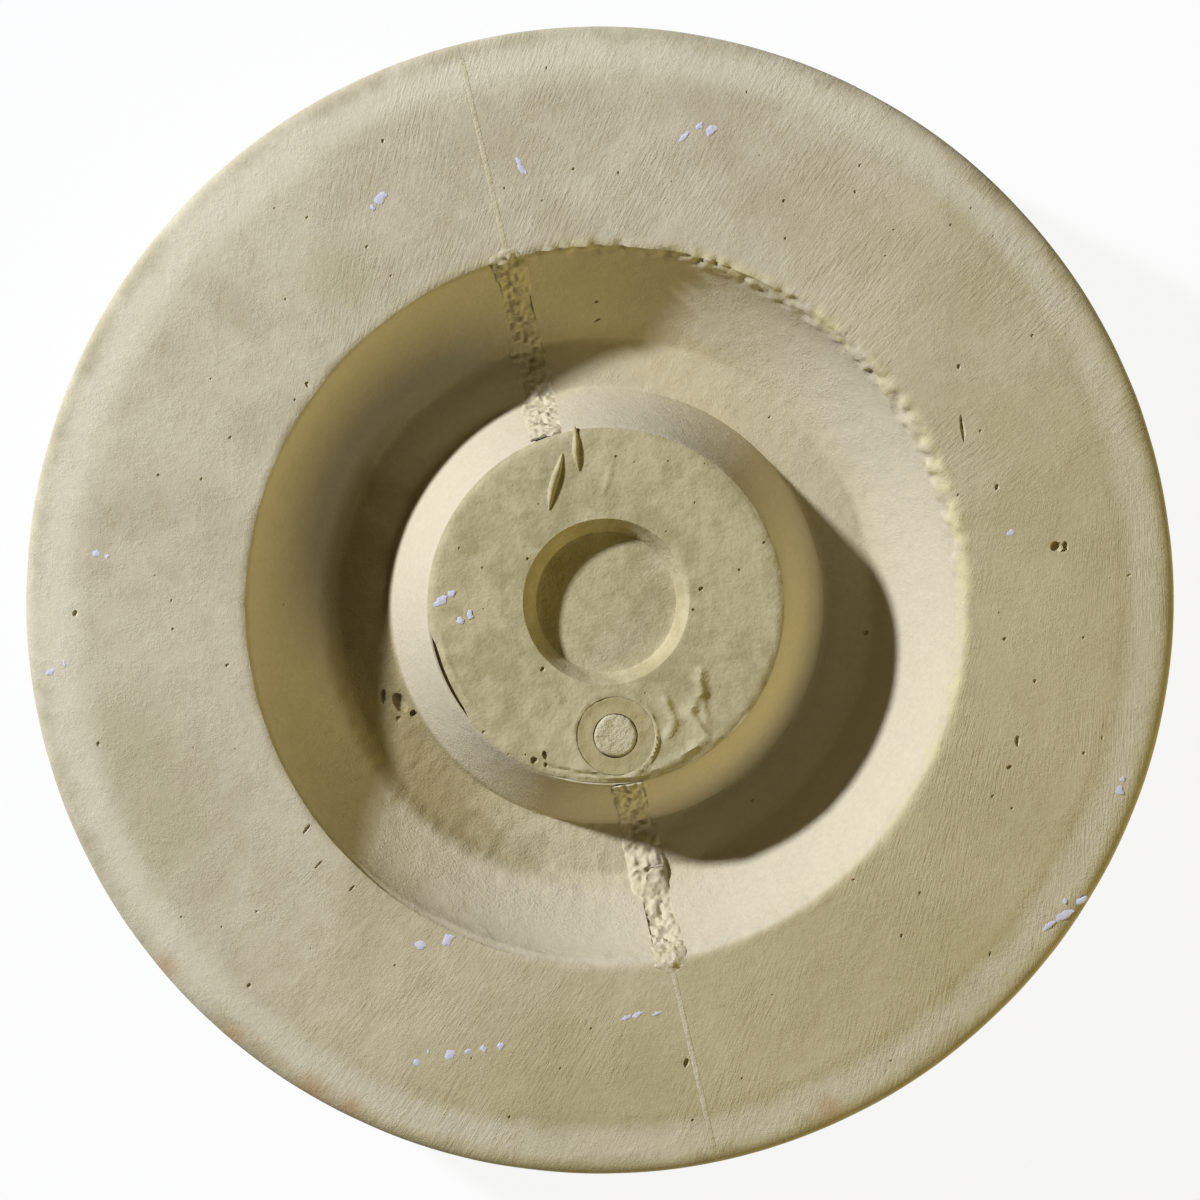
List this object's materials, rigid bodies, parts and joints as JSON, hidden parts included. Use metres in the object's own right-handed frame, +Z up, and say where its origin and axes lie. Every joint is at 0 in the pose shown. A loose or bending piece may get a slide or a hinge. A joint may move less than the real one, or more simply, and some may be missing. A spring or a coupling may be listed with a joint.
{
  "type": "plaster mold",
  "caption": "Round two-part plaster mould with a ring-shaped cavity, a plaster-filled seam, locating keys and a lift-out core plug.",
  "frame": {"origin": "centre of the underside, which rests on the bench", "axes": "+Z up out of the cavity; the parting plane is parallel to YZ and the right half pulls away along +X"},
  "size_m": [0.338, 0.338, 0.0724],
  "materials": {
    "casting_plaster": "matt, scraped plaster",
    "fill_plaster": "matt, rough plaster",
    "plug_plaster": "matt, smooth plaster",
    "key_plaster": "matt, rough plaster",
    "natch_plastic": "matt moulded plastic"
  },
  "bodies": {
    "left_half": {"mould_half_left": "casting_plaster", "seam_fill_rear": "fill_plaster", "seam_fill_front": "fill_plaster", "natch_pin_rear_outer": "natch_plastic", "natch_pin_rear_inner": "natch_plastic", "natch_pin_front_outer": "natch_plastic", "natch_pin_front_inner": "natch_plastic"},
    "right_half": {"mould_half_right": "casting_plaster", "natch_cup_rear_outer": "natch_plastic", "natch_cup_rear_inner": "natch_plastic", "natch_cup_front_outer": "natch_plastic", "natch_cup_front_inner": "natch_plastic"},
    "core_plug": {"core_plug": "plug_plaster", "key_cup": "key_plaster", "key_core": "key_plaster"}
  },
  "joints": [
    {"name": "right_half_pull", "type": "slide", "parent": "left_half", "child": "right_half", "axis": [1, 0, 0], "range_m": [0, 0.09]},
    {"name": "core_plug_lift", "type": "slide", "parent": "left_half", "child": "core_plug", "axis": [0, 0, 1], "range_m": [0, 0.075]}
  ]
}
